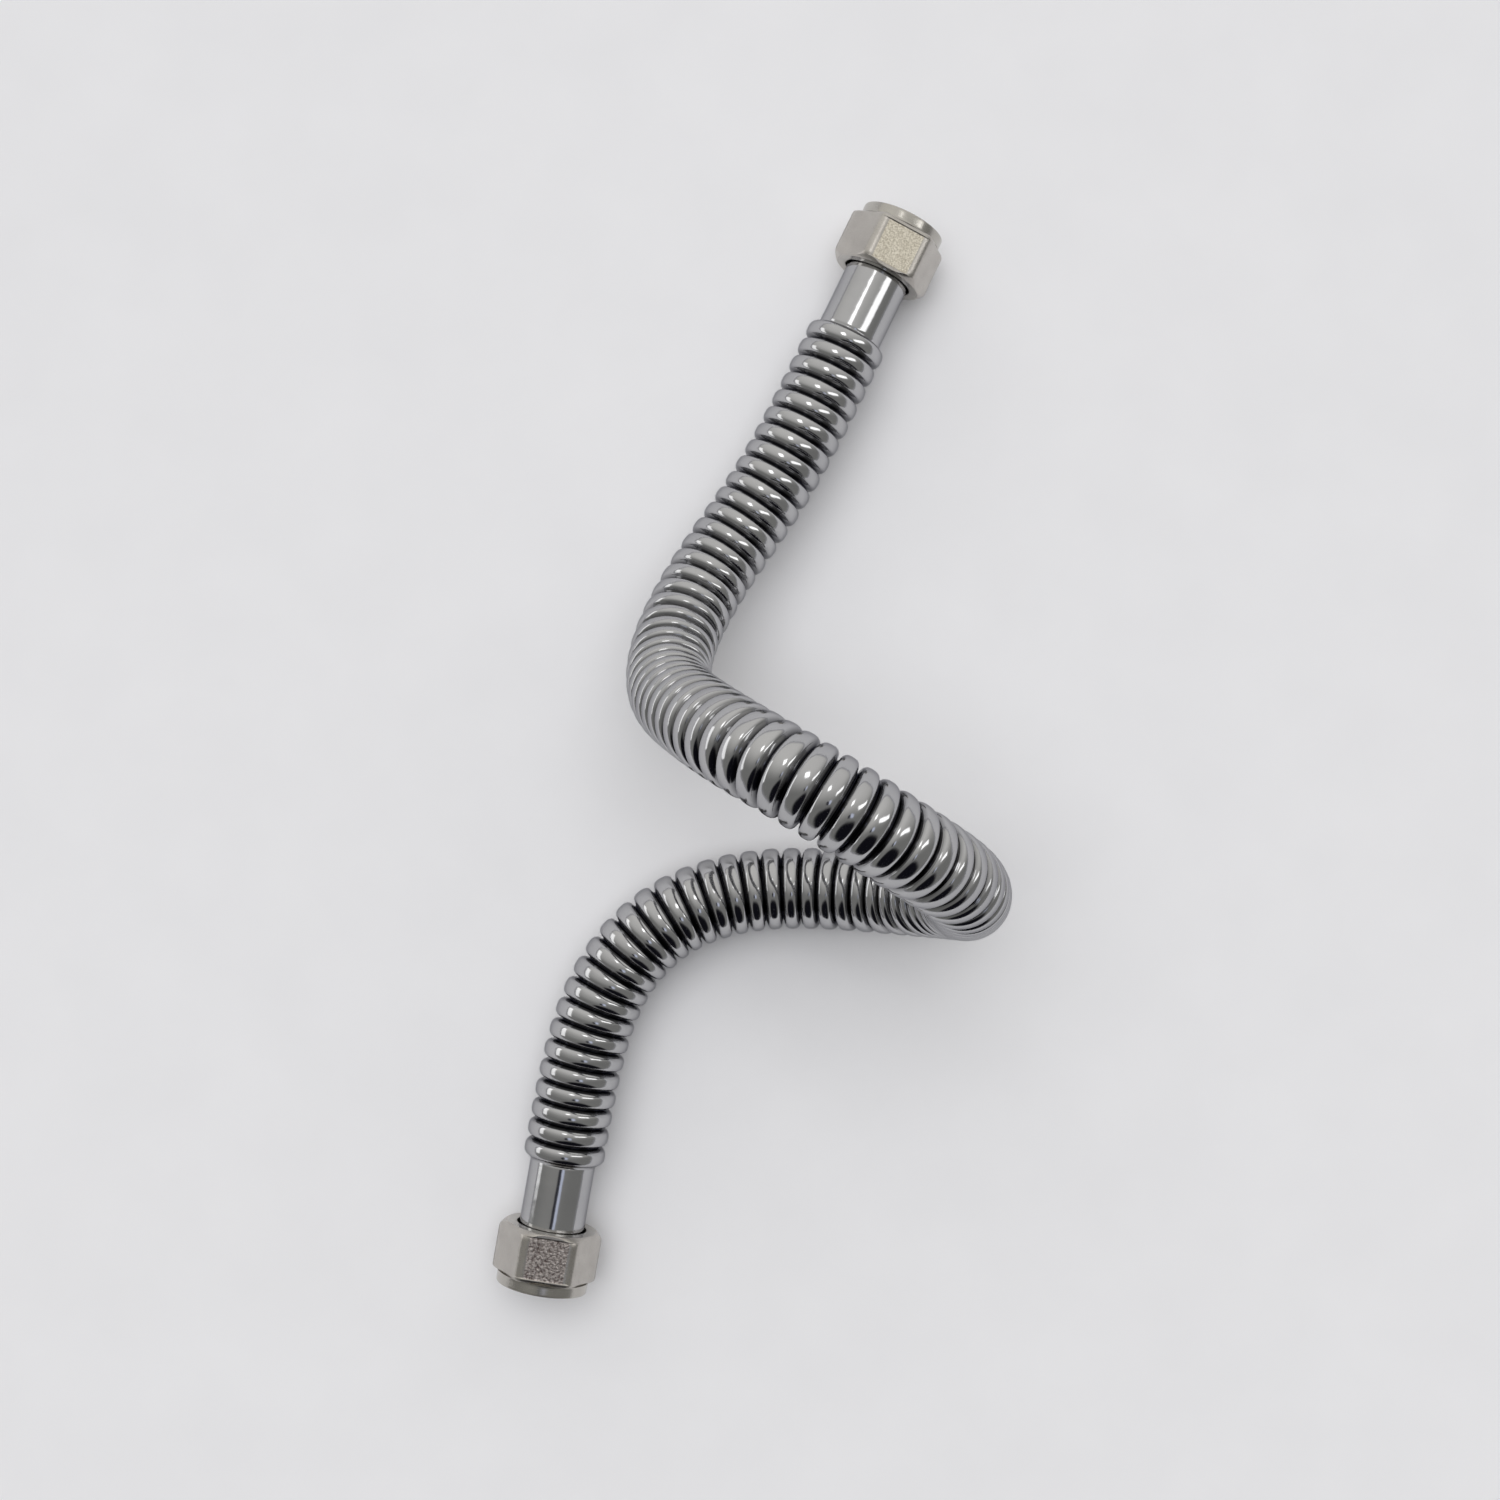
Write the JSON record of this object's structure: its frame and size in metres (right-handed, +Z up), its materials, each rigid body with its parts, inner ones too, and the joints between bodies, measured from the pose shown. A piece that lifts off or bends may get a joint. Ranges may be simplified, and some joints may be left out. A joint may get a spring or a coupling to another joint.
{
  "type": "corrugated metal connector hose",
  "caption": "Semi-rigid corrugated steel connector hose bent into one open coil turn, with a swivel union nut on each end.",
  "frame": {"origin": "on the surface that the hose lies on, under the middle of its outline", "axes": "+Z up from the surface, +Y along the length towards the upper nut, +X to the right seen from above with +Y away"},
  "size_m": [0.1698, 0.3702, 0.1486],
  "materials": {
    "hose_steel": "polished",
    "nickel_plated_brass": "satin",
    "thrust_ring": "satin",
    "sealing_washer": "matte"
  },
  "bodies": {
    "coil": {"hose_rising_run": "hose_steel", "hose_top_run": "hose_steel", "hose_falling_run": "hose_steel", "hose_base_run": "hose_steel", "hose_upper_bend": "hose_steel", "hose_lower_bend": "hose_steel"},
    "upper_leg": {"hose_upper_run": "hose_steel", "upper_cuff": "hose_steel", "upper_sealing_washer": "sealing_washer"},
    "upper_ring": {"upper_thrust_ring": "thrust_ring"},
    "upper_nut": {"upper_union_nut": "nickel_plated_brass"},
    "lower_leg": {"hose_lower_run": "hose_steel", "lower_cuff": "hose_steel", "lower_sealing_washer": "sealing_washer"},
    "lower_ring": {"lower_thrust_ring": "thrust_ring"},
    "lower_nut": {"lower_union_nut": "nickel_plated_brass"}
  },
  "joints": [
    {"name": "upper_leg_flex", "type": "hinge", "parent": "coil", "child": "upper_leg", "pos_m": [0.0088, 0.0865, 0.0242], "axis": [0, 0, 1], "range_deg": [-15, 15], "deforming": ["hose_upper_bend"]},
    {"name": "upper_nut_slide", "type": "slide", "parent": "upper_leg", "child": "upper_ring", "axis": [-0.4335, -0.8981, 0.0743], "range_m": [0, 0.021]},
    {"name": "upper_nut_swivel", "type": "hinge", "parent": "upper_ring", "child": "upper_nut", "pos_m": [0.0507, 0.1688, 0.0169], "axis": [0.4335, 0.8981, -0.0743], "continuous": true},
    {"name": "lower_leg_flex", "type": "hinge", "parent": "coil", "child": "lower_leg", "pos_m": [-0.0293, -0.0622, 0.016], "axis": [0, 0, 1], "range_deg": [-15, 15], "deforming": ["hose_lower_bend"]},
    {"name": "lower_nut_slide", "type": "slide", "parent": "lower_leg", "child": "lower_ring", "axis": [0.1739, 0.9846, 0.0177], "range_m": [0, 0.021]},
    {"name": "lower_nut_swivel", "type": "hinge", "parent": "lower_ring", "child": "lower_nut", "pos_m": [-0.0662, -0.1729, 0.0163], "axis": [-0.1739, -0.9846, -0.0177], "continuous": true}
  ]
}
